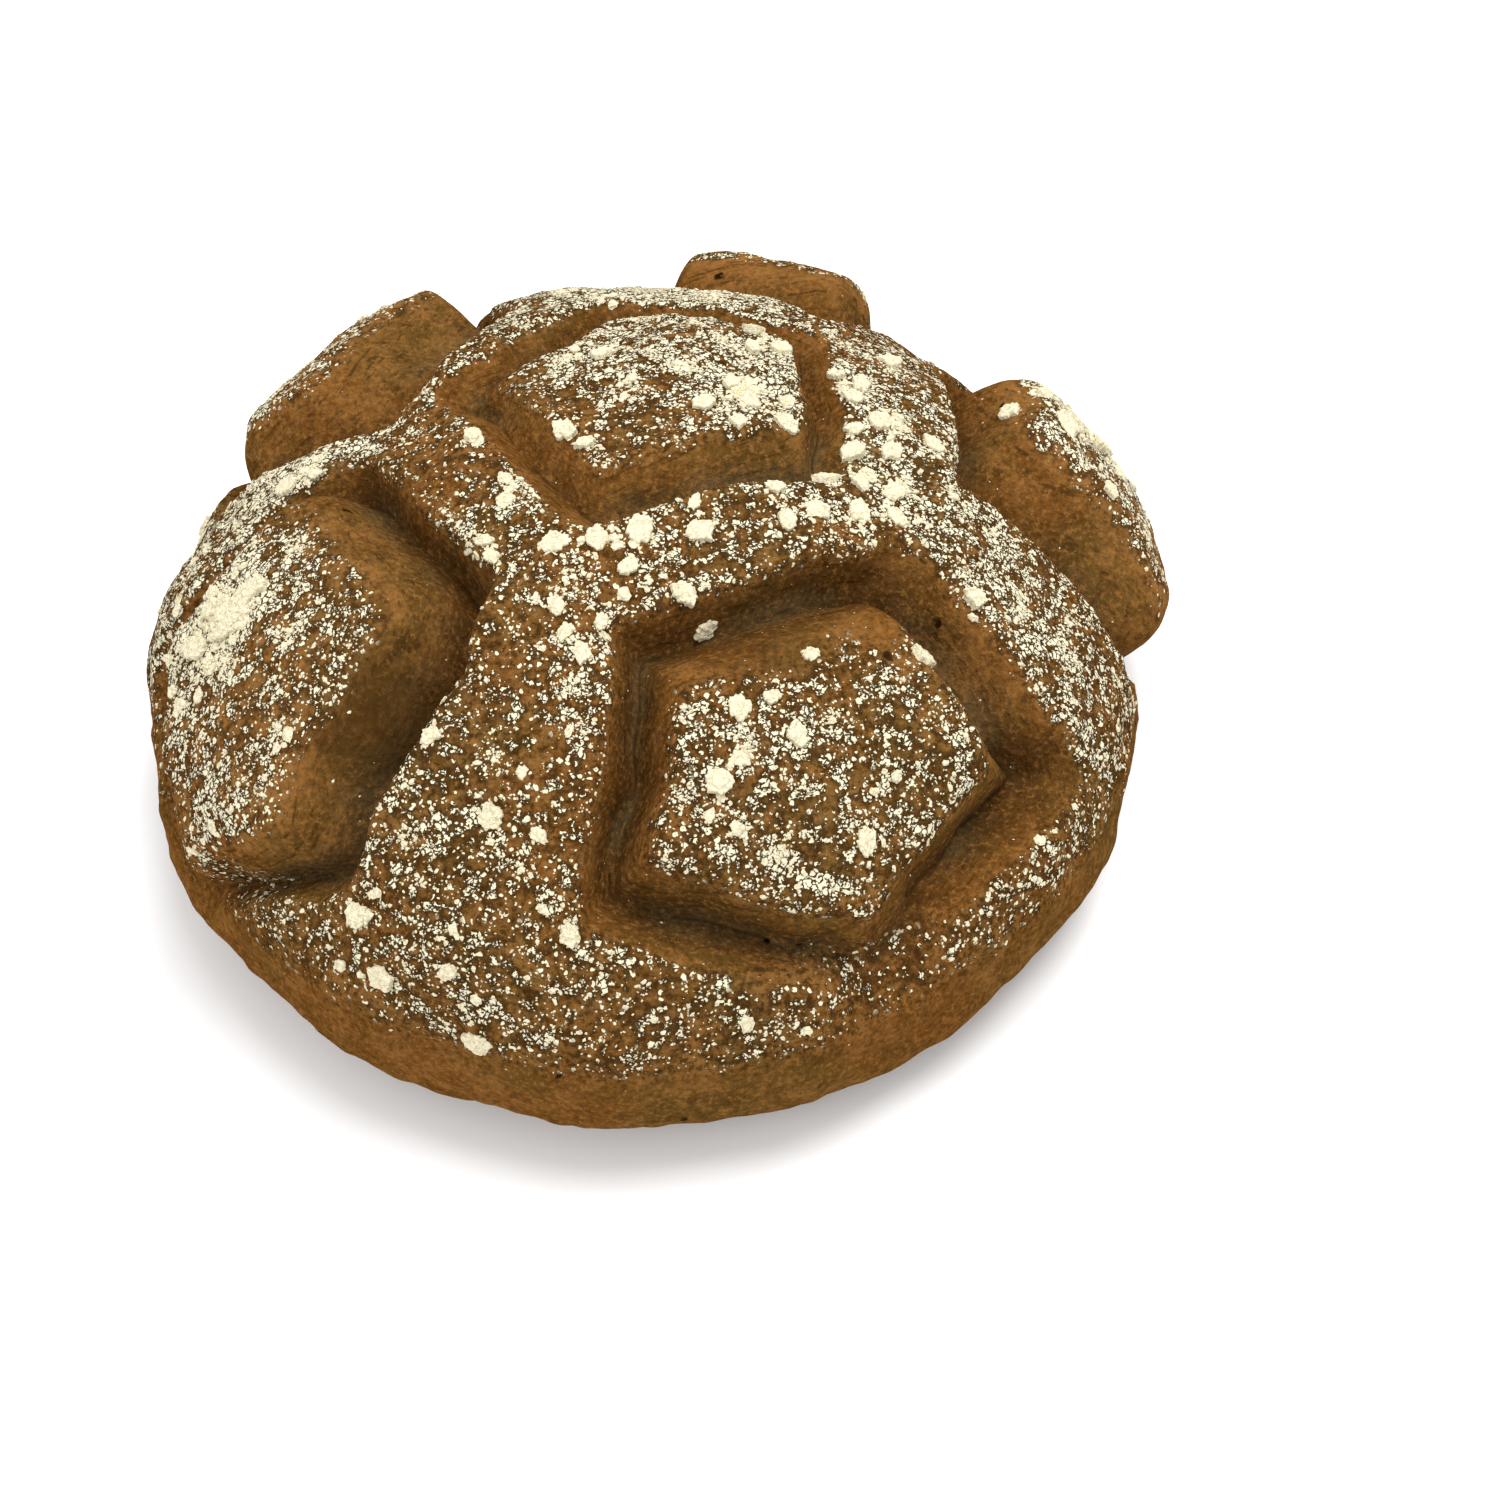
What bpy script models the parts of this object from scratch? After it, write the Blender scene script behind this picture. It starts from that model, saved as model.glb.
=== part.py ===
"""A round gluten-free loaf whose crust was pressed with six pentagon stamps before baking.

Each stamped patch has swollen in the oven, so it stands up from a sharp crease with bare
walls, and flakes of flour lie on the crust. The loaf is one solid that stands on its flat base.
Origin: centre of the base. +Z is up, and -Y is the side that faces the viewer. Metres.
"""

import math
from collections import namedtuple

import bmesh
import bpy
import numpy as np
from mathutils import Vector

MM = 0.001

# The loaf without its stamps: half an ellipsoid on a low rounded foot.
CRUST_RADIUS = 110 * MM
CROWN_HEIGHT = 93 * MM
WIDEST_HEIGHT = 27 * MM
FOOT_DEPTH = 31 * MM
FOOT_SQUARENESS = 3.1
BASE_FADE_HEIGHT = 14 * MM

# Slow unevenness of the baked dough.
WAVE_COUNT = 28
WAVE_LENGTHS = (32 * MM, 75 * MM)
WAVE_HEIGHT = 1.1 * MM
OUTLINE_WANDER = 1.6 * MM
RIPPLE_LENGTHS = (11 * MM, 26 * MM)
OUTLINE_RIPPLE = 0.8 * MM
DEPTH_VARIATION = 0.2
WAVE_SEED = 11

# x, y: the stamp's centre seen from above, in mm.
# corners: the pentagon's corners from there, in mm towards the pattern's middle and across it.
# inside, outside: breadth in mm of the patch's wall and of the crust's wall along each side,
# the side from the first corner to the second first.
# depth, rise: how deep the crease is and how far the patch has swollen past the crust, in mm.
# lean: how much more it rises for each mm towards the pattern's middle and across it.
# swell: 1 gives the patch flat walls and a sharp rim, 2 a round rim.
# softness: how round its corners are, as a share of the walls' breadth.
Stamp = namedtuple("Stamp", "name x y corners inside outside depth rise lean swell softness")
STAMPS = [
    Stamp(
        "middle", 7, 26,
        [(34, -24), (-15, -40), (-43, 8), (-9, 42), (36, 26)],
        (11, 9, 8, 7, 5), (4.5, 7, 7, 6, 6.5), 6, 2, (0.04, -0.03), 1.6, 0.17,
    ),
    Stamp(
        "left", -72, -30,
        [(38, 31), (39, -22), (-26, -41), (-58, -2), (-24, 40)],
        (20, 14, 12, 14, 10), (5.5, 4, 3.5, 6, 6), 10, 6, (0, 0), 2.2, 0.24,
    ),
    Stamp(
        "front", 32, -68,
        [(37, 27), (42, -28), (-10, -49), (-44, -3), (-14, 46)],
        (17, 11, 11, 11, 8), (4.5, 11, 9, 8, 6), 12, 2, (0, 0), 1.3, 0.12,
    ),
    Stamp(
        "right", 98, 22,
        [(31, 19), (28, -27), (-20, -43), (-50, -6), (-20, 41)],
        (13, 12, 11, 12, 20), (5, 6, 6, 6, 5), 9, 10, (-0.05, -0.02), 1.5, 0.22,
    ),
    Stamp(
        "back", 36, 96,
        [(26, 19), (26, -19), (-10, -30), (-31, 0), (-10, 30)],
        (20, 8, 9, 10, 8), (6, 6, 6, 6, 6), 9, 10, (0.05, 0.04), 1.5, 0.2,
    ),
    Stamp(
        "back_left", -63, 70,
        [(31, 23), (31, -28), (-12, -43), (-40, 0), (-12, 37)],
        (24, 12, 12, 12, 6), (6, 6, 6, 6, 6), 9, 8, (0.05, 0.05), 1.5, 0.2,
    ),
]
CRUST_WALL_SWELL = 1.5
CREASE_ROUNDNESS = 0.08
LOW_CREASE_SHARE = 0.45
CREASE_FADE_HEIGHTS = (12 * MM, 38 * MM)

# Creases are shallow on the outer side of a patch: this share of their depth, and how far
# towards the pattern's middle from the patch's centre they grow to their full depth, in mm.
OUTER_CREASE_SHARE = 0.35
OUTER_CREASE_REACH = (-56, -30)

# Flour lies on the crust and on the patches, but not on their walls or low on the side.
FLOUR_LINE_HEIGHTS = (32 * MM, 46 * MM)
BARE_SHARES = (-0.66, 0.9)
FLOUR_EDGE_SHARE = 0.15
STRAY_SHARE = 0.01

# x, y: the middle of a heap of flakes seen from above, in mm. reach: how far its flakes lie from
# there, and breadth: the breadth of its largest flake, in mm. flakes: how many there are.
Heap = namedtuple("Heap", "x y reach flakes breadth")
HEAPS = [
    Heap(-14, -19, 4, 1, 8),
    Heap(-1, -21, 7, 3, 9.5),
    Heap(11, -19, 4, 1, 8),
    Heap(-25, -3, 5, 2, 6),
    Heap(31, -11, 6, 3, 6.5),
    Heap(42, -2, 6, 3, 9),
    Heap(50, -6, 9, 6, 8),
    Heap(49, 15, 9, 6, 7.5),
    Heap(46, 28, 7, 4, 6.5),
    Heap(79, 32, 4, 1, 7),
    Heap(86, 28, 5, 2, 9),
    Heap(94, 30, 10, 5, 7.5),
    Heap(26, 14, 11, 6, 7),
    Heap(32, 45, 8, 3, 6.5),
    Heap(-14, 8, 5, 2, 6.5),
    Heap(1, 21, 6, 2, 5),
    Heap(-81, -18, 8, 5, 9.5),
    Heap(-87, -28, 8, 3, 5.5),
    Heap(-33, -21, 6, 2, 6.5),
    Heap(-9, -37, 8, 3, 5.5),
    Heap(13, -37, 6, 2, 6.5),
    Heap(20, -60, 9, 4, 7),
    Heap(-64, -84, 8, 2, 5.5),
    Heap(-20, -72, 9, 2, 5),
    Heap(0, 0, 300, 30, 7),
]
SMALLEST_FLAKE_SHARE = 0.6
FLAKE_SIDES = 7
FLAKE_SLIMNESS = (0.6, 0.95)
FLAKE_THICKNESS_SHARE = (0.11, 0.18)
FLAKE_SINK = 1.2 * MM
FLAKE_GAP = 0.5 * MM
FLAKE_TRIES = 40
FLAKE_SEED = 23

# The mesh is shaped finely, then thinned to the faces that carry its form.
SPHERE_LEVEL = 7
THINNED_FACES = 6300

# A flake's spokes vary in length by this share, and it narrows from its shoulder to its top.
FLAKE_RAGGEDNESS = 0.22
FLAKE_SHOULDER = 0.35
FLAKE_TOP_SHARE = 0.72

# Vertices nearer to a crease than this share of an edge's length are moved onto it.
CREASE_PULL = 0.55
CREASE_PROBE = 0.001
CREASE_SEARCH_SHARE = 0.6
NEARLY_UP = (0.01, 0.02, 1)

CRUST_COLOUR = (0.36, 0.19, 0.07, 1)
CRUST_ROUGHNESS = 0.85


def smooth_step(value, low, high):
    """0 below low, 1 above high, and a soft S between them."""
    share = np.clip((value - low) / (high - low), 0, 1)
    return share * share * (3 - 2 * share)


def crust_waves(points, seed, lengths):
    """A sum of seeded plane waves of these lengths, about -1 to 1."""
    draw = np.random.default_rng(seed)
    total = np.zeros(len(points))
    for _ in range(WAVE_COUNT):
        direction = draw.normal(size=3)
        direction /= np.linalg.norm(direction)
        length = draw.uniform(*lengths)
        total += np.sin(points @ direction * (2 * math.pi / length) + draw.uniform(0, 2 * math.pi))
    return total / math.sqrt(WAVE_COUNT)


def plain_loaf(directions):
    """Points and outward normals of the loaf without stamps, one for each unit direction."""
    crown = CROWN_HEIGHT - WIDEST_HEIGHT
    level = np.hypot(directions[:, 0], directions[:, 1])
    dip = np.clip(-directions[:, 2], 0, 1)
    square = np.maximum(level**FOOT_SQUARENESS + dip**FOOT_SQUARENESS, 1e-9) ** (-1 / FOOT_SQUARENESS)
    below = directions[:, 2] < 0
    stretch = np.where(below, square, 1)[:, None]
    height = np.where(below, FOOT_DEPTH, crown)
    points = directions * stretch * np.column_stack(
        [np.full(len(directions), CRUST_RADIUS), np.full(len(directions), CRUST_RADIUS), height]
    )
    power = np.where(below, FOOT_SQUARENESS - 1, 1)
    outward = directions[:, :2] / np.maximum(level, 1e-9)[:, None]
    across = (np.hypot(points[:, 0], points[:, 1]) / CRUST_RADIUS) ** power / CRUST_RADIUS
    up = np.sign(directions[:, 2]) * (np.abs(points[:, 2]) / height) ** power / height
    normals = np.column_stack([outward * across[:, None], up])
    normals /= np.linalg.norm(normals, axis=1)[:, None]
    points[:, 2] = np.maximum(points[:, 2] + WIDEST_HEIGHT, 0)
    return points, normals


def crown_point(x, y):
    """The point and normal of the plain loaf above a place seen from above."""
    across = Vector((x, y)) / CRUST_RADIUS
    direction = np.array([[across.x, across.y, math.sqrt(1 - across.length_squared)]])
    points, normals = plain_loaf(direction)
    return points[0], normals[0]


def stamp_axes(stamp):
    """The stamp's centre and its two axes on the crust, the first towards the pattern's middle."""
    centre, normal = crown_point(stamp.x * MM, stamp.y * MM)
    middle, _ = crown_point(STAMPS[0].x * MM, STAMPS[0].y * MM)
    inward = middle - centre if stamp is not STAMPS[0] else np.array([1.0, 0.0, 0.0])
    inward = inward - normal * (inward @ normal)
    inward /= np.linalg.norm(inward)
    return centre, inward, np.cross(normal, inward)


def stamp_share(stamp, points, wander):
    """-1 on the patch, 0 in its crease, 1 on the crust around it, and each point's place in mm."""
    centre, inward, sideways = stamp_axes(stamp)
    offset = (points - centre) / MM
    flat = np.column_stack([offset @ inward, offset @ sideways])
    reach = np.linalg.norm(offset, axis=1)
    flat *= (reach / np.maximum(np.linalg.norm(flat, axis=1), 1e-9))[:, None]
    total = np.zeros(len(points))
    corners = np.array(stamp.corners, dtype=float)
    for side, start in enumerate(corners):
        edge = corners[(side + 1) % len(corners)] - start
        outward = np.array([-edge[1], edge[0]]) / np.linalg.norm(edge)
        gap = (flat - start) @ outward + wander / MM
        share = np.where(gap > 0, gap / stamp.outside[side], gap / stamp.inside[side])
        total += np.exp(np.clip(share / stamp.softness, -60, 60))
    return stamp.softness * np.log(total), flat


def ramp(share, swell):
    """The height of a wall: 0 at the crease's round bottom and 1, level, at the wall's far edge."""
    rounded = np.hypot(np.clip(share, 0, 1), CREASE_ROUNDNESS) - CREASE_ROUNDNESS
    rounded /= math.hypot(1, CREASE_ROUNDNESS) - CREASE_ROUNDNESS
    return 1 - (1 - rounded) ** swell


def outline_wander(points):
    """How far the creases stray from the stamps' straight sides."""
    wander = crust_waves(points, WAVE_SEED + 1, WAVE_LENGTHS) * OUTLINE_WANDER
    return wander + crust_waves(points, WAVE_SEED + 2, RIPPLE_LENGTHS) * OUTLINE_RIPPLE


def crease_fullness(stamp, flat):
    """0 on the outer side of an outer stamp, 1 on its inner side and all around the middle one."""
    return 1 if stamp is STAMPS[0] else smooth_step(flat[:, 0], *OUTER_CREASE_REACH)


def crust_relief(points):
    """How far the stamped and swollen crust stands out from the plain loaf."""
    relief = crust_waves(points, WAVE_SEED, WAVE_LENGTHS) * WAVE_HEIGHT
    wander = outline_wander(points)
    uneven = 1 + crust_waves(points, WAVE_SEED + 3, WAVE_LENGTHS) * DEPTH_VARIATION
    low, high = CREASE_FADE_HEIGHTS
    fade = LOW_CREASE_SHARE + (1 - LOW_CREASE_SHARE) * smooth_step(points[:, 2], low, high)
    for stamp in STAMPS:
        share, flat = stamp_share(stamp, points, wander)
        outer = OUTER_CREASE_SHARE + (1 - OUTER_CREASE_SHARE) * crease_fullness(stamp, flat)
        depth = stamp.depth * fade * uneven * outer
        outside = -depth * (1 - ramp(share, CRUST_WALL_SWELL))
        rise = stamp.rise + flat @ np.array(stamp.lean)
        inside = -depth + (depth + rise) * ramp(-share, stamp.swell)
        relief += np.where(share > 0, outside, inside) * MM
    return relief * smooth_step(points[:, 2], 0, BASE_FADE_HEIGHT)


def shaped_crust(directions):
    """Points of the finished crust, one for each unit direction."""
    points, normals = plain_loaf(directions)
    shaped = points + normals * crust_relief(points)[:, None]
    shaped[:, 2] = np.maximum(shaped[:, 2], 0)
    return shaped


def floury_share(points):
    """How much of the crust flour covers at each point of the plain loaf, 0 to 1."""
    wander = outline_wander(points)
    cover = smooth_step(points[:, 2], *FLOUR_LINE_HEIGHTS)
    patch, crust = BARE_SHARES
    for stamp in STAMPS:
        share, flat = stamp_share(stamp, points, wander)
        bare = 1 - smooth_step(-share, -patch, 1) - smooth_step(share, crust - FLOUR_EDGE_SHARE, crust)
        cover *= 1 - bare * crease_fullness(stamp, flat)
    return cover


def share_towards(stamp, directions):
    """The stamp's share on the plain loaf, one for each unit direction."""
    points, _ = plain_loaf(directions)
    share, _ = stamp_share(stamp, points, outline_wander(points))
    return share


def unit(vectors):
    """The vectors at length 1."""
    return vectors / np.linalg.norm(vectors, axis=1)[:, None]


def pulled_to_creases(directions, edge):
    """Moves the directions next to a crease onto it, so that the mesh gets edges along it."""
    for stamp in STAMPS:
        near = np.abs(share_towards(stamp, directions)) < CREASE_SEARCH_SHARE
        close = directions[near]
        east = unit(np.cross(close, NEARLY_UP))
        north = np.cross(close, east)
        share = share_towards(stamp, close)
        slope_east = (share_towards(stamp, unit(close + east * CREASE_PROBE)) - share) / CREASE_PROBE
        slope_north = (share_towards(stamp, unit(close + north * CREASE_PROBE)) - share) / CREASE_PROBE
        steps = east * slope_east[:, None] + north * slope_north[:, None]
        steps *= (-share / (slope_east**2 + slope_north**2))[:, None]
        steps[np.linalg.norm(steps, axis=1) > edge * CREASE_PULL] = 0
        directions[near] = unit(close + steps)
    return directions


def fine_crust():
    """The loaf's crust as one fine closed mesh, and the directions of its vertices."""
    form = bmesh.new()
    bmesh.ops.create_icosphere(form, subdivisions=SPHERE_LEVEL, radius=1)
    edge = next(iter(form.edges)).calc_length()
    directions = pulled_to_creases(np.array([vertex.co.normalized() for vertex in form.verts]), edge)
    for vertex, place in zip(form.verts, shaped_crust(directions)):
        vertex.co = place
    form.normal_update()
    return form, directions


def flake_places(form, directions):
    """Where flakes lie: a point, a normal and a breadth for each, the largest first."""
    draw = np.random.default_rng(FLAKE_SEED)
    points, _ = plain_loaf(directions)
    cover = floury_share(points)
    shaped = np.array([vertex.co for vertex in form.verts])
    normals = np.array([vertex.normal for vertex in form.verts])
    wanted = []
    for heap in HEAPS:
        far = np.hypot(points[:, 0] - heap.x * MM, points[:, 1] - heap.y * MM) / (heap.reach * MM)
        weights = (cover + STRAY_SHARE) * (far < 1) * (points[:, 2] > WIDEST_HEIGHT)
        for _ in range(heap.flakes):
            breadth = heap.breadth * MM * draw.uniform(SMALLEST_FLAKE_SHARE, 1)
            wanted.append((breadth, weights / weights.sum()))
    placed = []
    for breadth, weights in sorted(wanted, key=lambda flake: -flake[0]):
        for spot in draw.choice(len(shaped), size=FLAKE_TRIES, p=weights):
            apart = [np.linalg.norm(shaped[spot] - place) for place, _, _ in placed]
            reach = [(breadth + other) / 2 + FLAKE_GAP for _, _, other in placed]
            if all(distance > least for distance, least in zip(apart, reach)):
                placed.append((shaped[spot], normals[spot], breadth))
                break
    return placed


def add_flake(place, normal, breadth, draw, flakes):
    """One flat crumb of flour, sunk a little into the crust."""
    up = Vector(normal)
    along = up.orthogonal().normalized()
    across = up.cross(along)
    turn = draw.uniform(0, 2 * math.pi)
    slimness = draw.uniform(*FLAKE_SLIMNESS)
    thickness = breadth * draw.uniform(*FLAKE_THICKNESS_SHARE)
    form = bmesh.new()
    rings = []
    spokes = draw.uniform(1 - FLAKE_RAGGEDNESS, 1, size=FLAKE_SIDES) * breadth / 2
    for inset, level in [(1, -FLAKE_SINK), (1, thickness * FLAKE_SHOULDER), (FLAKE_TOP_SHARE, thickness)]:
        ring = []
        for side, spoke in enumerate(spokes):
            angle = 2 * math.pi * side / FLAKE_SIDES
            flat = Vector((math.cos(angle), slimness * math.sin(angle))) * spoke * inset
            reach = along * (flat.x * math.cos(turn) - flat.y * math.sin(turn))
            reach += across * (flat.x * math.sin(turn) + flat.y * math.cos(turn))
            ring.append(form.verts.new(Vector(place) + reach + up * level))
        rings.append(ring)
    for low, high in zip(rings[:2], rings[1:]):
        for side in range(FLAKE_SIDES):
            after = (side + 1) % FLAKE_SIDES
            form.faces.new([low[side], low[after], high[after], high[side]])
    form.faces.new(list(reversed(rings[0])))
    form.faces.new(rings[-1])
    bmesh.ops.triangulate(form, faces=form.faces)
    mesh = bpy.data.meshes.new("flake")
    form.to_mesh(mesh)
    form.free()
    flakes.objects.link(bpy.data.objects.new("flake", mesh))


def fuse(loaf, flakes):
    """Joins the flakes to the loaf in one union, and leaves the loaf alone in the scene."""
    bpy.context.view_layer.objects.active = loaf
    union = loaf.modifiers.new("flakes", "BOOLEAN")
    union.operation = "UNION"
    union.solver = "EXACT"
    union.operand_type = "COLLECTION"
    union.collection = flakes
    for modifier in list(loaf.modifiers):
        bpy.ops.object.modifier_apply(modifier=modifier.name)
    for flake in list(flakes.objects):
        bpy.data.objects.remove(flake)
    bpy.data.collections.remove(flakes)


def shells(form):
    """The separate closed surfaces of a mesh, each as its faces."""
    left = set(form.faces)
    found = []
    while left:
        shell = {left.pop()}
        edge_of_search = list(shell)
        while edge_of_search:
            face = edge_of_search.pop()
            near = {other for edge in face.edges for other in edge.link_faces if other in left}
            left -= near
            shell |= near
            edge_of_search.extend(near)
        found.append(shell)
    return found


def keep_largest_shell(loaf):
    """Drops loose scraps and fills sealed hollows, and leaves triangles alone."""
    form = bmesh.new()
    form.from_mesh(loaf.data)
    for shell in sorted(shells(form), key=len)[:-1]:
        bmesh.ops.delete(form, geom=list(shell), context="FACES")
    bmesh.ops.delete(form, geom=[vertex for vertex in form.verts if not vertex.link_faces], context="VERTS")
    bmesh.ops.triangulate(form, faces=form.faces)
    form.to_mesh(loaf.data)
    form.free()


def crust_material():
    material = bpy.data.materials.new("crust")
    material.use_nodes = True
    shader = material.node_tree.nodes["Principled BSDF"]
    shader.inputs["Base Color"].default_value = CRUST_COLOUR
    shader.inputs["Roughness"].default_value = CRUST_ROUGHNESS
    return material


def add_loaf():
    """The loaf with its largest flakes of flour, as one solid."""
    form, directions = fine_crust()
    places = flake_places(form, directions)
    mesh = bpy.data.meshes.new("loaf")
    form.to_mesh(mesh)
    form.free()
    loaf = bpy.data.objects.new("loaf", mesh)
    bpy.context.scene.collection.objects.link(loaf)
    thin = loaf.modifiers.new("thin", "DECIMATE")
    thin.ratio = THINNED_FACES / len(mesh.polygons)
    flakes = bpy.data.collections.new("flakes")
    bpy.context.scene.collection.children.link(flakes)
    draw = np.random.default_rng(FLAKE_SEED + 1)
    for place, normal, breadth in places:
        add_flake(place, normal, breadth, draw, flakes)
    fuse(loaf, flakes)
    keep_largest_shell(loaf)
    loaf.data.materials.clear()
    loaf.data.materials.append(crust_material())
    loaf.data.shade_smooth()


def main():
    for old in list(bpy.data.objects):
        bpy.data.objects.remove(old)
    add_loaf()


main()
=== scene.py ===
"""A round gluten-free loaf: crust, flakes, crumbs and grains of flour, camera and soft light.

The crust replaces the CAD loaf with the same form in a finer mesh. Everything is in metres,
with the origin at the centre of the flat base, +Z up and -Y towards the camera.
"""

import math
from collections import namedtuple

import bmesh
import bpy
import numpy as np
from mathutils import Matrix, Vector


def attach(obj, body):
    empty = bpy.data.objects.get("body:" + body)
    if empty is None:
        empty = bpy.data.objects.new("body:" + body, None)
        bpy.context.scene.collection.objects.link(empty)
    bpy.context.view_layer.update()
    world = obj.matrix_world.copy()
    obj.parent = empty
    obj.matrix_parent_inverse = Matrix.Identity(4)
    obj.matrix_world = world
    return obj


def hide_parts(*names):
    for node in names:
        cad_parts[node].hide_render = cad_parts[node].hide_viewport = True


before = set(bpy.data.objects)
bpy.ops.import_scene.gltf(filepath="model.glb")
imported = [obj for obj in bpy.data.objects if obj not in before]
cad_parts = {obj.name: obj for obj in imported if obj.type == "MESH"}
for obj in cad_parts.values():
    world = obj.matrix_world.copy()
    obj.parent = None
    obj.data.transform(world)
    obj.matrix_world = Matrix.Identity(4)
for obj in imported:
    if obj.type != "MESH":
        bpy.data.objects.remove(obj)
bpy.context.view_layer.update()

MM = 0.001

# The loaf without its stamps: half an ellipsoid on a low rounded foot.
CRUST_RADIUS = 110 * MM
CROWN_HEIGHT = 93 * MM
WIDEST_HEIGHT = 27 * MM
FOOT_DEPTH = 31 * MM
FOOT_SQUARENESS = 3.1
BASE_FADE_HEIGHT = 14 * MM

# Slow unevenness of the baked dough.
WAVE_COUNT = 28
WAVE_LENGTHS = (32 * MM, 75 * MM)
WAVE_HEIGHT = 1.1 * MM
OUTLINE_WANDER = 1.6 * MM
RIPPLE_LENGTHS = (11 * MM, 26 * MM)
OUTLINE_RIPPLE = 0.8 * MM
DEPTH_VARIATION = 0.2
WAVE_SEED = 11
OUTLINE_SEED = WAVE_SEED + 1
RIPPLE_SEED = WAVE_SEED + 2
DEPTH_SEED = WAVE_SEED + 3

# x, y: the stamp's centre seen from above, in mm.
# corners: the pentagon's corners from there, in mm towards the pattern's middle and across it.
# inside, outside: breadth in mm of the patch's wall and of the crust's wall along each side,
# the side from the first corner to the second first.
# depth, rise: how deep the crease is and how far the patch has swollen past the crust, in mm.
# lean: how much more it rises for each mm towards the pattern's middle and across it.
# swell: 1 gives the patch flat walls and a sharp rim, 2 a round rim.
# softness: how round its corners are, as a share of the walls' breadth.
Stamp = namedtuple("Stamp", "name x y corners inside outside depth rise lean swell softness")
STAMPS = [
    Stamp(
        "middle", 7, 26,
        [(34, -24), (-15, -40), (-43, 8), (-9, 42), (36, 26)],
        (11, 9, 8, 7, 5), (4.5, 7, 7, 6, 6.5), 6, 2, (0.04, -0.03), 1.6, 0.17,
    ),
    Stamp(
        "left", -72, -30,
        [(38, 31), (39, -22), (-26, -41), (-58, -2), (-24, 40)],
        (20, 14, 12, 14, 10), (5.5, 4, 3.5, 6, 6), 10, 6, (0, 0), 2.2, 0.24,
    ),
    Stamp(
        "front", 32, -68,
        [(37, 27), (42, -28), (-10, -49), (-44, -3), (-14, 46)],
        (17, 11, 11, 11, 8), (4.5, 11, 9, 8, 6), 12, 2, (0, 0), 1.3, 0.12,
    ),
    Stamp(
        "right", 98, 22,
        [(31, 19), (28, -27), (-20, -43), (-50, -6), (-20, 41)],
        (13, 12, 11, 12, 20), (5, 6, 6, 6, 5), 9, 10, (-0.05, -0.02), 1.5, 0.22,
    ),
    Stamp(
        "back", 36, 96,
        [(26, 19), (26, -19), (-10, -30), (-31, 0), (-10, 30)],
        (20, 8, 9, 10, 8), (6, 6, 6, 6, 6), 9, 10, (0.05, 0.04), 1.5, 0.2,
    ),
    Stamp(
        "back_left", -63, 70,
        [(31, 23), (31, -28), (-12, -43), (-40, 0), (-12, 37)],
        (24, 12, 12, 12, 6), (6, 6, 6, 6, 6), 9, 8, (0.05, 0.05), 1.5, 0.2,
    ),
]
CRUST_WALL_SWELL = 1.5
CREASE_ROUNDNESS = 0.08
LOW_CREASE_SHARE = 0.45
CREASE_FADE_HEIGHTS = (12 * MM, 38 * MM)

# Creases are shallow on the outer side of a patch: this share of their depth, and how far
# towards the pattern's middle from the patch's centre they grow to their full depth, in mm.
OUTER_CREASE_SHARE = 0.35
OUTER_CREASE_REACH = (-56, -30)

# Flour lies on the crust and on the patches, but not on their walls or low on the side.
FLOUR_LINE_HEIGHTS = (32 * MM, 46 * MM)
BARE_SHARES = (-0.66, 0.9)
FLOUR_EDGE_SHARE = 0.15
STRAY_SHARE = 0.01

# x, y: the middle of a heap of flakes seen from above, in mm. reach: how far its flakes lie from
# there, and breadth: the breadth of its largest flake, in mm. flakes: how many there are.
Heap = namedtuple("Heap", "x y reach flakes breadth")
HEAPS = [
    Heap(-14, -19, 4, 1, 8),
    Heap(-1, -21, 7, 3, 9.5),
    Heap(11, -19, 4, 1, 8),
    Heap(-25, -3, 5, 2, 6),
    Heap(31, -11, 6, 3, 6.5),
    Heap(42, -2, 6, 3, 9),
    Heap(50, -6, 9, 6, 8),
    Heap(49, 15, 9, 6, 7.5),
    Heap(46, 28, 7, 4, 6.5),
    Heap(79, 32, 4, 1, 7),
    Heap(86, 28, 5, 2, 9),
    Heap(94, 30, 10, 5, 7.5),
    Heap(26, 14, 11, 6, 7),
    Heap(32, 45, 8, 3, 6.5),
    Heap(-14, 8, 5, 2, 6.5),
    Heap(1, 21, 6, 2, 5),
    Heap(-81, -18, 8, 5, 9.5),
    Heap(-87, -28, 8, 3, 5.5),
    Heap(-33, -21, 6, 2, 6.5),
    Heap(-9, -37, 8, 3, 5.5),
    Heap(13, -37, 6, 2, 6.5),
    Heap(20, -60, 9, 4, 7),
    Heap(-64, -84, 8, 2, 5.5),
    Heap(-20, -72, 9, 2, 5),
    Heap(0, 0, 300, 30, 7),
]
SMALLEST_FLAKE_SHARE = 0.6
FLAKE_SIDES = 7
FLAKE_SLIMNESS = (0.6, 0.95)
FLAKE_THICKNESS_SHARE = (0.11, 0.18)
FLAKE_SINK = 1.2 * MM
FLAKE_GAP = 0.5 * MM
FLAKE_TRIES = 40
FLAKE_SEED = 23

# Vertices nearer to a crease than this share of an edge's length are moved onto it.
CREASE_PULL = 0.55
CREASE_PROBE = 0.001
CREASE_SEARCH_SHARE = 0.6
NEARLY_UP = (0.01, 0.02, 1)

# The smallest length that is divided by, and the largest exponent.
NEARLY_ZERO = 1e-9
EXPONENT_LIMIT = 60

# The crust's mesh is an icosphere whose edges are cut again. Flakes are laid on a coarser one.
CRUST_LEVEL = 6
CRUST_CUTS = 2
FLAKE_LEVEL = 7

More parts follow.
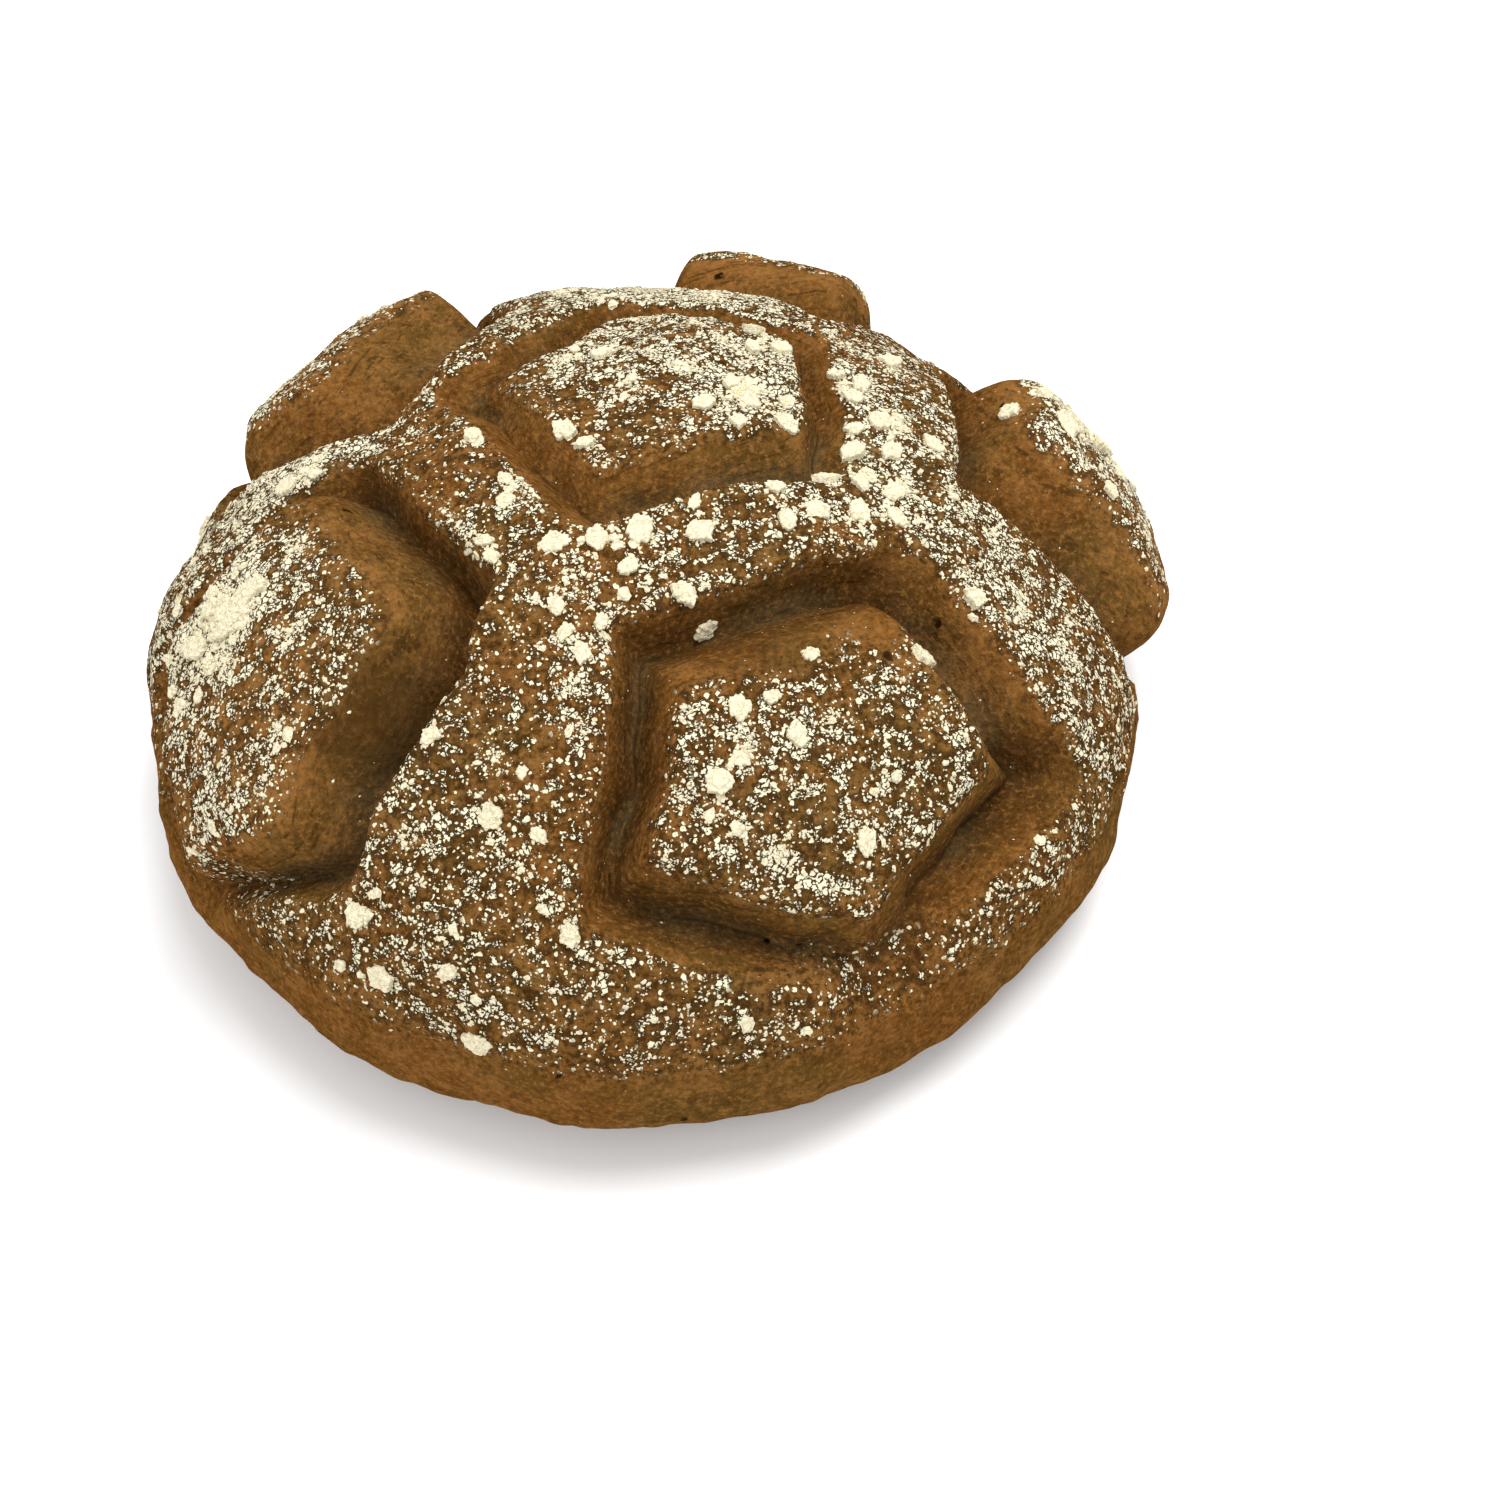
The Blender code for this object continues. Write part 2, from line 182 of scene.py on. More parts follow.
# Fine relief: lumps of dough, and the crackle of the dry crust.
LUMP_LENGTHS = (9 * MM, 18 * MM)
LUMP_HEIGHT = 0.3 * MM
LUMP_SEED = WAVE_SEED + 5
CRACKLE_LENGTHS = (3.5 * MM, 7 * MM)
CRACKLE_HEIGHT = 0.15 * MM
CRACKLE_SEED = WAVE_SEED + 6

# Where more flour fell, or less. x, y: the middle of the drift seen from above, and reach, in mm.
Drift = namedtuple("Drift", "x y reach weight")
DRIFTS = [
    Drift(50, 12, 18, 0.9),
    Drift(30, 30, 18, 1.2),
    Drift(38, 38, 10, 0.6),
    Drift(-70, 18, 20, 1.4),
    Drift(76, -24, 22, 0.8),
    Drift(94, 30, 16, 1.2),
    Drift(-86, -14, 15, 1.3),
    Drift(18, -62, 22, 0.4),
    Drift(10, 80, 26, 2.0),
    Drift(-82, -17, 7, 1.9),
    Drift(-96, -6, 14, 1.0),
    Drift(-62, -32, 10, 0.3),
    Drift(-76, -54, 14, 0.4),
    Drift(-72, 40, 14, 0.7),
    Drift(-84, 26, 12, 0.5),
    Drift(-4, 34, 16, 0.5),
    Drift(-36, -56, 24, -0.2),
    Drift(-12, 10, 18, -0.3),
    Drift(-54, -16, 9, -0.8),
    Drift(-42, 8, 12, -0.8),
    Drift(14, -48, 8, -1.6),
    Drift(30, -44, 8, -1.6),
    Drift(46, -38, 8, -1.6),
]
EVEN_FLOUR = 0.355
DRIFT_FLOUR = 0.3

# Painted light and shade: spots where the crust is drawn lighter or darker for how light falls on it.
PAINTED_LIGHT_AND_SHADE = [
    Drift(-51, -50, 14, -1.0),
    Drift(64, -45, 14, 0.7),
    Drift(24, -45, 12, -0.5),
    Drift(-60, 54, 16, 0.4),
    Drift(93, -12, 16, -0.2),
]

# The mask of the creases: a share farther from 0 than any stamp's, and the mask's largest value.
FAR_SHARE = 9.0
CREASE_LIMIT = 1.5

# Loose flour: how many bits of each kind there are, their breadths, and how finely each is cut.
# Level 2 has 80 triangles, level 1 has 20, and level 0 is an octahedron.
Bits = namedtuple("Bits", "name count smallest largest level")
CRUMBS = Bits("flour_crumbs", 1200, 1.4 * MM, 3.2 * MM, 2)
GRAINS = Bits("flour_grains", 9000, 0.6 * MM, 1.6 * MM, 1)
SPECKS = Bits("flour_specks", 20000, 0.3 * MM, 0.8 * MM, 0)
FLOUR_SEED = 41

# How a bit is shaped. BIT_SMALLNESS: the larger, the more bits are small. BIT_SHARES: the least
# and the largest length, width and height, as shares of the breadth. BIT_DENTS: the least and the
# largest factor of a corner's distance from the middle. BIT_LIFT: how high the middle lies above
# the crust, as a share of half the bit's height.
BIT_SMALLNESS = 2.2
BIT_SHARES = ((0.85, 0.5, 0.22), (1.2, 0.95, 0.5))
BIT_DENTS = (0.6, 1.3)
BIT_LIFT = 0.45

# Where the bits lie: more of them where the flour is thick, in clusters, and around the rim of
# each large flake, at this distance in breadths of the flake. A few specks lie anywhere.
FLOUR_CONTRAST = 1.5
CRUMB_CONTRAST = 1.3
CLUSTER_LENGTHS = (5 * MM, 16 * MM)
CLUSTER_STRENGTH = 1.5
BESIDE_FLAKE = 0.6
BESIDE_REACH = 0.2
BESIDE_CRUMBS = 4
BESIDE_GRAINS = 1.5
STRAY_SPECKS = 0.006

# Normals steeper than this are crossed with the X axis, not with the Z axis.
STEEP = 0.9

# The large flakes: how finely they are cut, how flat they are, 0 for flat, how much of a flake
# its rim takes up, how it slopes, and how bumpy it is. Its bumps are moved by this many breadths.
FLAKE_SHAPE_LEVEL = 4
FLAKE_SHAPE_SEED = FLAKE_SEED + 1
FLAKE_FLATNESS = 0.25
FLAKE_RIM_POWER = 0.5
FLAKE_TILT = 0.14
FLAKE_BUMP_LENGTHS = (0.9 * MM, 2.4 * MM)
FLAKE_BUMP_HEIGHT = 0.15 * MM
FLAKE_BUMP_SEEDS = (1, 9999)
FLAKE_BUMP_SHIFT = 9

# A flake's outline, with half its breadth as 1: straight sides at these distances, each turned
# by up to a share of a side, and teeth of this depth in them, so many around the flake.
FLAKE_LONGEST = 1.25
FLAKE_SIDE_TURN = 0.35
FLAKE_SIDE_REACHES = (0.84, 1.14)
FLAKE_SLANT_LIMIT = 0.2
FLAKE_TEETH = (5, 9, 14)
FLAKE_TOOTH_DEPTH = 0.09

# Colours are linear.
CRUST_DARK = (0.034, 0.016, 0.004, 1)
CRUST_ORANGE = (0.130, 0.053, 0.011, 1)
CRUST_OLIVE = (0.102, 0.052, 0.012, 1)
CRUST_LIGHT = (0.235, 0.106, 0.028, 1)
CREASE_GREY = (0.100, 0.072, 0.034, 1)
# Painted shade: near black for the inside of the pits and for the bottoms of the creases.
PAINTED_DEEP_SHADE = (0.012, 0.006, 0.002, 1)
DUSTY_BROWN = (0.260, 0.180, 0.080, 1)
FLOUR_CREAM = (0.675, 0.620, 0.445, 1)
FLOUR_YELLOW = (0.640, 0.520, 0.230, 1)
FLOUR_CRACK = (0.340, 0.260, 0.130, 1)
FLOOR_WHITE = (0.92, 0.92, 0.92, 1)

# The noises of the materials. scale: their cycles for each metre.
Noise = namedtuple("Noise", "scale detail roughness")
PATCHES = Noise(30.0, 3.0, 0.55)
SWATHS = Noise(75.0, 3.0, 0.6)
BLOTCHES = Noise(110.0, 3.0, 0.65)
MOTTLE = Noise(240.0, 5.0, 0.75)
CLUMPS = Noise(290.0, 3.0, 0.55)
TINT = Noise(330.0, 3.0, 0.6)
PORES = Noise(800.0, 3.0, 0.7)
GAPS = Noise(1250.0, 2.0, 0.6)
GRAIN = Noise(1300.0, 3.0, 0.65)
BEND_DETAIL = 1.0
NOISE_MIDDLE = (0.5, 0.5, 0.5)

# Fibres: noise that is cut finely across the creases, by the distance from them.
FIBRES = Noise(1.0, 3.0, 0.7)
FIBRE_SCALE = 230.0
FIBRE_FINENESS = 17.0

# Noise bends places before a pattern is laid on them. scale: its cycles for each metre, reach:
# twice how far it moves them.
Bend = namedtuple("Bend", "scale reach")
PIT_BEND = Bend(500.0, 3 * MM)
CLUMP_BEND = Bend(900.0, 1.1 * MM)
CRACK_BEND = Bend(800.0, 1.2 * MM)

# Where a layer shows: not at all at low, at its full strength at high.
Band = namedtuple("Band", "low high strength")

# Colours of the crust: by its noises, by its relief in mm, and by the mask of painted light and shade.
OLIVE = Band(0.38, 0.62, 1)
LIGHT_BLOTCHES = Band(0.42, 0.68, 0.5)
# Swollen parts: a lighter crust there, with painted light on these exposed parts.
SWELLING_TONE_AND_PAINTED_LIGHT = Band(2.0, 8.0, 0.45)
# Painted shade: the crust darkens in the hollows of the creases, where shade falls.
PAINTED_HOLLOW_SHADE = Band(-1.0, -8.0, 0.45)
# Painted light and painted shade, by the mask.
PAINTED_LIGHT = Band(0, 1, 0.7)
PAINTED_SHADE = Band(0, -1, 0.7)
DARK_MOTTLE = Band(0.55, 0.35, 0.4)
LIGHT_PORES = Band(0.47, 0.36, 0.6)
DARK_PORES = Band(0.52, 0.62, 1)
PORE_STRENGTH = 0.85
PORE_FLOUR = Band(-0.1, 0.1, 1)

# Colours of the walls. The distance from the crease is a share of the wall.
DARK_FIBRES = Band(0.48, 0.34, 0.7)
FIBRE_DISTANCE = Band(0.95, 0.7, 1)
GREY_DISTANCE = Band(0.45, 0.1, 0.45)
GREY_PATCHES = Band(0.4, 0.6, 1)
# Painted shade: a dark line at the very bottom of each crease, in blotches.
PAINTED_SLOT_SHADE = Band(0.09, 0.0, 0.6)
SLOT_BLOTCHES = Band(0.35, 0.55, 1)

# Pits: the cells for each metre, which of them have a pit, and its rim, as a share of a cell.
PIT_SCALE = 85.0
PIT_CHANCE = Band(0.16, 0.14, 1)
PIT_RIM = Band(0.13, 0.06, 1)

# Flour on the crust. LEVEL: how high the clumps stand, by swaths and by the mask of the flour.
# CROWD: which share of the cells has a speck.
FLOURY = Band(0.03, 0.14, 1)
LEVEL_SWATHS = 0.35
LEVEL_FLOUR = 0.34
LEVEL_COVERED = Band(0.872, 0.884, 1)
LEVEL_SHADED = Band(0.70, 0.86, 0.82)
CROWD_FLOUR = 0.45
CROWD_SWATHS = 0.2
GRANULE_SCALE = 700.0
GRANULE_RIM = Band(0.03, 0.11, 1)
SPECK_SCALES = (620.0, 1150.0)
SPECK_CHANCE = Band(-0.02, 0.02, 1)
SPECK_RIM = Band(0.38, 0.32, 1)
SPECK_BEND_SCALE = 1.1
SPECK_BEND_REACH = 0.9
GAP_RIM = Band(0.36, 0.44, 1)
FILM_LEAST = 0.08
FILM_FLOUR = Band(0.35, 0.8, 0.4)
FILM_MOTTLE = Band(0.4, 0.65, 1)
YELLOW_GRAIN = Band(0.55, 0.7, 0.4)

# Flakes and bits of flour.
YELLOW_TINT = Band(0.62, 0.78, 1)
CRACK_SCALE = 520.0
CRACK_RIM = Band(0.07, 0.01, 0.42)
DIMPLES = Band(0.47, 0.33, 0.5)

# Bumps, their heights, and the crust's roughness by how flour covers it.
CRUST_BUMP = 0.9 * MM
FLOUR_BUMP = 0.6 * MM
BUMP_FLOUR = 0.3
BUMP_MOTTLE = 0.7
BUMP_PORES = -0.45
ROUGHNESS = Band(-1.2, 1.1, 1)

# Sockets of the node that mixes two colours.
MIX_SHARE = 0
MIX_FIRST = 6
MIX_SECOND = 7
MIX_RESULT = 2

# The camera stands where the photograph's did. Axes are its right, down and forward.
CAMERA_PLACE = (0, -0.3547, 0.4338)
CAMERA_RIGHT = (0.99671, -0.08011, -0.01213)
CAMERA_DOWN = (-0.06971, -0.77143, -0.63249)
CAMERA_FORWARD = (0.04131, 0.63125, -0.77448)
CAMERA_LENS = 57.3
SENSOR_WIDTH = 36.0

# A white floor and surround, and soft round lamps that face the loaf. Power is in watts.
FLOOR_SIZE = 8
SURROUND_STRENGTH = 0.95
Lamp = namedtuple("Lamp", "name place size power")
LAMPS = [
    Lamp("key", (0.25, 0.1, 1.0), 0.7, 10),
    Lamp("fill", (-0.6, -0.8, 0.7), 0.9, 4),
]
LAMP_TARGET = (0, 0, 0.05)


def smooth_step(value, low, high):
    """0 below low, 1 above high, and a soft S between them."""
    share = np.clip((value - low) / (high - low), 0, 1)
    return share * share * (3 - 2 * share)


def crust_waves(points, seed, lengths):
    """A sum of seeded plane waves of these lengths, about -1 to 1."""
    draw = np.random.default_rng(seed)
    total = np.zeros(len(points))
    for _ in range(WAVE_COUNT):
        direction = draw.normal(size=3)
        direction /= np.linalg.norm(direction)
        length = draw.uniform(*lengths)
        total += np.sin(points @ direction * (2 * math.pi / length) + draw.uniform(0, 2 * math.pi))
    return total / math.sqrt(WAVE_COUNT)


def plain_loaf(directions):
    """Points and outward normals of the loaf without stamps, one for each unit direction."""
    crown = CROWN_HEIGHT - WIDEST_HEIGHT
    level = np.hypot(directions[:, 0], directions[:, 1])
    dip = np.clip(-directions[:, 2], 0, 1)
    square = np.maximum(level**FOOT_SQUARENESS + dip**FOOT_SQUARENESS, NEARLY_ZERO) ** (-1 / FOOT_SQUARENESS)
    below = directions[:, 2] < 0
    stretch = np.where(below, square, 1)[:, None]
    height = np.where(below, FOOT_DEPTH, crown)
    points = directions * stretch * np.column_stack(
        [np.full(len(directions), CRUST_RADIUS), np.full(len(directions), CRUST_RADIUS), height]
    )
    power = np.where(below, FOOT_SQUARENESS - 1, 1)
    outward = directions[:, :2] / np.maximum(level, NEARLY_ZERO)[:, None]
    across = (np.hypot(points[:, 0], points[:, 1]) / CRUST_RADIUS) ** power / CRUST_RADIUS
    up = np.sign(directions[:, 2]) * (np.abs(points[:, 2]) / height) ** power / height
    normals = np.column_stack([outward * across[:, None], up])
    normals /= np.linalg.norm(normals, axis=1)[:, None]
    points[:, 2] = np.maximum(points[:, 2] + WIDEST_HEIGHT, 0)
    return points, normals


def crown_point(x, y):
    """The point and normal of the plain loaf above a place seen from above."""
    across = Vector((x, y)) / CRUST_RADIUS
    direction = np.array([[across.x, across.y, math.sqrt(1 - across.length_squared)]])
    points, normals = plain_loaf(direction)
    return points[0], normals[0]


def stamp_axes(stamp):
    """The stamp's centre and its two axes on the crust, the first towards the pattern's middle."""
    centre, normal = crown_point(stamp.x * MM, stamp.y * MM)
    middle, _ = crown_point(STAMPS[0].x * MM, STAMPS[0].y * MM)
    inward = middle - centre if stamp is not STAMPS[0] else np.array([1.0, 0.0, 0.0])
    inward = inward - normal * (inward @ normal)
    inward /= np.linalg.norm(inward)
    return centre, inward, np.cross(normal, inward)


def stamp_share(stamp, points, wander):
    """-1 on the patch, 0 in its crease, 1 on the crust around it, and each point's place in mm."""
    centre, inward, sideways = stamp_axes(stamp)
    offset = (points - centre) / MM
    flat = np.column_stack([offset @ inward, offset @ sideways])
    reach = np.linalg.norm(offset, axis=1)
    flat *= (reach / np.maximum(np.linalg.norm(flat, axis=1), NEARLY_ZERO))[:, None]
    total = np.zeros(len(points))
    corners = np.array(stamp.corners, dtype=float)
    for side, start in enumerate(corners):
        edge = corners[(side + 1) % len(corners)] - start
        outward = np.array([-edge[1], edge[0]]) / np.linalg.norm(edge)
        gap = (flat - start) @ outward + wander / MM
        share = np.where(gap > 0, gap / stamp.outside[side], gap / stamp.inside[side])
        total += np.exp(np.clip(share / stamp.softness, -EXPONENT_LIMIT, EXPONENT_LIMIT))
    return stamp.softness * np.log(total), flat


def ramp(share, swell):
    """The height of a wall: 0 at the crease's round bottom and 1, level, at the wall's far edge."""
    rounded = np.hypot(np.clip(share, 0, 1), CREASE_ROUNDNESS) - CREASE_ROUNDNESS
    rounded /= math.hypot(1, CREASE_ROUNDNESS) - CREASE_ROUNDNESS
    return 1 - (1 - rounded) ** swell


def outline_wander(points):
    """How far the creases stray from the stamps' straight sides."""
    wander = crust_waves(points, OUTLINE_SEED, WAVE_LENGTHS) * OUTLINE_WANDER
    return wander + crust_waves(points, RIPPLE_SEED, RIPPLE_LENGTHS) * OUTLINE_RIPPLE


def crease_fullness(stamp, flat):
    """0 on the outer side of an outer stamp, 1 on its inner side and all around the middle one."""
    return 1 if stamp is STAMPS[0] else smooth_step(flat[:, 0], *OUTER_CREASE_REACH)


def crust_relief(points):
    """How far the stamped and swollen crust stands out from the plain loaf."""
    relief = crust_waves(points, WAVE_SEED, WAVE_LENGTHS) * WAVE_HEIGHT
    wander = outline_wander(points)
    uneven = 1 + crust_waves(points, DEPTH_SEED, WAVE_LENGTHS) * DEPTH_VARIATION
    low, high = CREASE_FADE_HEIGHTS
    fade = LOW_CREASE_SHARE + (1 - LOW_CREASE_SHARE) * smooth_step(points[:, 2], low, high)
    for stamp in STAMPS:
        share, flat = stamp_share(stamp, points, wander)
        outer = OUTER_CREASE_SHARE + (1 - OUTER_CREASE_SHARE) * crease_fullness(stamp, flat)
        depth = stamp.depth * fade * uneven * outer
        outside = -depth * (1 - ramp(share, CRUST_WALL_SWELL))
        rise = stamp.rise + flat @ np.array(stamp.lean)
        inside = -depth + (depth + rise) * ramp(-share, stamp.swell)
        relief += np.where(share > 0, outside, inside) * MM
    return relief * smooth_step(points[:, 2], 0, BASE_FADE_HEIGHT)


def shaped_crust(directions):
    """Points of the finished crust, one for each unit direction."""
    points, normals = plain_loaf(directions)
    shaped = points + normals * crust_relief(points)[:, None]
    shaped[:, 2] = np.maximum(shaped[:, 2], 0)
    return shaped


def floury_share(points):
    """How much of the crust flour covers at each point of the plain loaf, 0 to 1."""
    wander = outline_wander(points)
    cover = smooth_step(points[:, 2], *FLOUR_LINE_HEIGHTS)
    patch, crust = BARE_SHARES
    for stamp in STAMPS:
        share, flat = stamp_share(stamp, points, wander)
        bare = 1 - smooth_step(-share, -patch, 1) - smooth_step(share, crust - FLOUR_EDGE_SHARE, crust)
        cover *= 1 - bare * crease_fullness(stamp, flat)
    return cover


def share_towards(stamp, directions):
    """The stamp's share on the plain loaf, one for each unit direction."""
    points, _ = plain_loaf(directions)
    share, _ = stamp_share(stamp, points, outline_wander(points))
    return share


def unit(vectors):
    """The vectors at length 1."""
    return vectors / np.linalg.norm(vectors, axis=1)[:, None]


def pulled_to_creases(directions, edge):
    """Moves the directions next to a crease onto it, so that the mesh gets edges along it."""
    for stamp in STAMPS:
        near = np.abs(share_towards(stamp, directions)) < CREASE_SEARCH_SHARE
        close = directions[near]
        east = unit(np.cross(close, NEARLY_UP))
        north = np.cross(close, east)
        share = share_towards(stamp, close)
        slope_east = (share_towards(stamp, unit(close + east * CREASE_PROBE)) - share) / CREASE_PROBE
        slope_north = (share_towards(stamp, unit(close + north * CREASE_PROBE)) - share) / CREASE_PROBE
        steps = east * slope_east[:, None] + north * slope_north[:, None]
        steps *= (-share / (slope_east**2 + slope_north**2))[:, None]
        steps[np.linalg.norm(steps, axis=1) > edge * CREASE_PULL] = 0
        directions[near] = unit(close + steps)
    return directions


def flake_places(form, directions):
    """Where flakes lie: a point, a normal and a breadth for each, the largest first."""
    draw = np.random.default_rng(FLAKE_SEED)
    points, _ = plain_loaf(directions)
    cover = floury_share(points)
    shaped = np.array([vertex.co for vertex in form.verts])
    normals = np.array([vertex.normal for vertex in form.verts])
    wanted = []
    for heap in HEAPS:
        far = np.hypot(points[:, 0] - heap.x * MM, points[:, 1] - heap.y * MM) / (heap.reach * MM)
        weights = (cover + STRAY_SHARE) * (far < 1) * (points[:, 2] > WIDEST_HEIGHT)
        for _ in range(heap.flakes):
            breadth = heap.breadth * MM * draw.uniform(SMALLEST_FLAKE_SHARE, 1)
            wanted.append((breadth, weights / weights.sum()))
    placed = []
    for breadth, weights in sorted(wanted, key=lambda flake: -flake[0]):
        for spot in draw.choice(len(shaped), size=FLAKE_TRIES, p=weights):
            apart = [np.linalg.norm(shaped[spot] - place) for place, _, _ in placed]
            reach = [(breadth + other) / 2 + FLAKE_GAP for _, _, other in placed]
            if all(distance > least for distance, least in zip(apart, reach)):
                placed.append((shaped[spot], normals[spot], breadth))
                break
    return placed


def crust_form(level, cuts, fine):
    """The loaf's crust as a closed mesh, and the directions of its vertices."""
    form = bmesh.new()
    bmesh.ops.create_icosphere(form, subdivisions=level, radius=1)
    if cuts:
        bmesh.ops.subdivide_edges(form, edges=form.edges, cuts=cuts, use_grid_fill=True)
    edge = next(iter(form.edges)).calc_length()
    directions = pulled_to_creases(unit(np.array([vertex.co for vertex in form.verts])), edge)
    shaped = shaped_crust(directions)
    if fine:
        points, normals = plain_loaf(directions)
        relief = crust_waves(points, LUMP_SEED, LUMP_LENGTHS) * LUMP_HEIGHT
        relief += crust_waves(points, CRACKLE_SEED, CRACKLE_LENGTHS) * CRACKLE_HEIGHT
        relief *= smooth_step(points[:, 2], 0, BASE_FADE_HEIGHT)
        shaped = shaped + normals * relief[:, None]
        shaped[:, 2] = np.maximum(shaped[:, 2], 0)
    for vertex, place in zip(form.verts, shaped):
        vertex.co = place
    form.normal_update()
    return form, directions


def mesh_arrays(form):
    """The vertices and the faces of a form as arrays. The form is freed."""
    form.verts.index_update()
    vertices = np.array([vertex.co for vertex in form.verts])
    faces = np.array([[vertex.index for vertex in face.verts] for face in form.faces])
    form.free()
    return vertices, faces


def nearest_share(directions):
    """The stamp share that is nearest to 0 at each direction: 0 in a crease, -1 on a patch."""
    nearest = np.full(len(directions), FAR_SHARE)
    for stamp in STAMPS:
        share = share_towards(stamp, directions)
        nearest = np.where(np.abs(share) < np.abs(nearest), share, nearest)
    return nearest


def drifted(points, drifts):
    """How much of the drifts lies at each point of the plain loaf."""
    amount = np.zeros(len(points))
    for drift in drifts:
        far = np.hypot(points[:, 0] - drift.x * MM, points[:, 1] - drift.y * MM) / (drift.reach * MM)
        amount += drift.weight * np.exp(-(far**2))
    return amount


def flour_amount(points):
    """How thick the flour lies at each point of the plain loaf, 0 to about 1."""
    amount = EVEN_FLOUR + DRIFT_FLOUR * drifted(points, DRIFTS)
    return np.maximum(amount, 0) * floury_share(points)


def add_piece(name, vertices, faces, material, smooth=True):
    """A mesh object that rides on the loaf's body."""
    mesh = bpy.data.meshes.new(name)
    mesh.from_pydata(vertices, [], faces)
    if smooth:
        mesh.shade_smooth()
    mesh.materials.append(material)
    piece = bpy.data.objects.new(name, mesh)
    bpy.context.scene.collection.objects.link(piece)
    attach(piece, "root")
    return piece


def add_crust(material):
    """The finely shaped crust, with the masks that its material reads."""
    form, directions = crust_form(CRUST_LEVEL, CRUST_CUTS, True)
    vertices, faces = mesh_arrays(form)
    crust = add_piece("crust", vertices, faces.tolist(), material)
    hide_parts("loaf")
    points, _ = plain_loaf(directions)
    masks = {
        "flour": flour_amount(points),
        "crease": np.clip(nearest_share(directions), -CREASE_LIMIT, CREASE_LIMIT),
        "relief": crust_relief(points) / MM,
        # Painted light and shade, as a mask.
        "painted_lighting": drifted(points, PAINTED_LIGHT_AND_SHADE),
    }
    for name, values in masks.items():
        mask = crust.data.attributes.new(name, "FLOAT", "POINT")
        mask.data.foreach_set("value", values.astype(np.float32))
    return vertices, faces, masks["flour"]


def ball(level):
    """Vertices and faces of a unit icosphere, or of an octahedron for level 0."""
    form = bmesh.new()
    if level:
        bmesh.ops.create_icosphere(form, subdivisions=level, radius=1)
    else:
        tips = [(1, 0, 0), (0, 1, 0), (-1, 0, 0), (0, -1, 0)]
        ring = [form.verts.new(tip) for tip in tips]
        top = form.verts.new((0, 0, 1))
        bottom = form.verts.new((0, 0, -1))
        for side, tip in enumerate(ring):
            after = ring[(side + 1) % len(ring)]
            form.faces.new([tip, after, top])
            form.faces.new([after, tip, bottom])
    return mesh_arrays(form)


def tangents(normals, turns):
    """Two unit vectors across each normal, turned by an angle."""
    helper = np.where(np.abs(normals[:, 2:]) < STEEP, [[0.0, 0.0, 1.0]], [[1.0, 0.0, 0.0]])
    along = unit(np.cross(helper, normals))
    across = np.cross(normals, along)
    cosine = np.cos(turns)[:, None]
    sine = np.sin(turns)[:, None]
    return along * cosine + across * sine, across * cosine - along * sine


def scattered(draw, count, vertices, faces, weights):
    """Random points and normals on a mesh, more of them where the vertices weigh more."""
    corners = vertices[faces]
    cross = np.cross(corners[:, 1] - corners[:, 0], corners[:, 2] - corners[:, 0])
    area = np.linalg.norm(cross, axis=1)
    chance = area * weights[faces].mean(axis=1)
    chosen = draw.choice(len(faces), size=count, p=chance / chance.sum())
    shares = draw.dirichlet((1, 1, 1), size=count)
    places = np.einsum("nk,nkd->nd", shares, corners[chosen])
    return places, cross[chosen] / area[chosen, None]


def add_bits(bits, draw, vertices, faces, weights, material):
    """Loose bits of flour, each a dented ball a little sunk in the crust."""
    count = bits.count
    places, normals = scattered(draw, count, vertices, faces, weights)
    shape, shape_faces = ball(bits.level)
    size = bits.smallest + (bits.largest - bits.smallest) * draw.random(count) ** BIT_SMALLNESS
    along, across = tangents(normals, draw.uniform(0, 2 * math.pi, count))
    lengths = size[:, None] / 2 * draw.uniform(*BIT_SHARES, (count, 3))
    dents = draw.uniform(*BIT_DENTS, (count, len(shape)))
    local = shape[None] * dents[:, :, None] * lengths[:, None, :]
    local[:, :, 2] += lengths[:, None, 2] * BIT_LIFT
    laid = local[:, :, 0, None] * along[:, None] + local[:, :, 1, None] * across[:, None]
    laid += local[:, :, 2, None] * normals[:, None] + places[:, None]
    all_faces = shape_faces[None] + (np.arange(count) * len(shape))[:, None, None]
    add_piece(bits.name, laid.reshape(-1, 3), all_faces.reshape(-1, 3).tolist(), material, smooth=False)


def ragged_outline(angles, draw):
    """How far an angular flake with a jagged rim reaches at each angle, about 0.6 to 1.1."""
    reach = np.full(len(angles), FLAKE_LONGEST)
    for side in range(FLAKE_SIDES):
        turn = draw.uniform(-FLAKE_SIDE_TURN, FLAKE_SIDE_TURN)
        slant = np.cos(angles - (side + turn) * 2 * math.pi / FLAKE_SIDES)
        reach = np.minimum(reach, draw.uniform(*FLAKE_SIDE_REACHES) / np.maximum(slant, FLAKE_SLANT_LIMIT))
    for teeth in FLAKE_TEETH:
        reach -= FLAKE_TOOTH_DEPTH * np.abs(np.sin(teeth / 2 * angles + draw.uniform(0, math.pi)))
    return reach


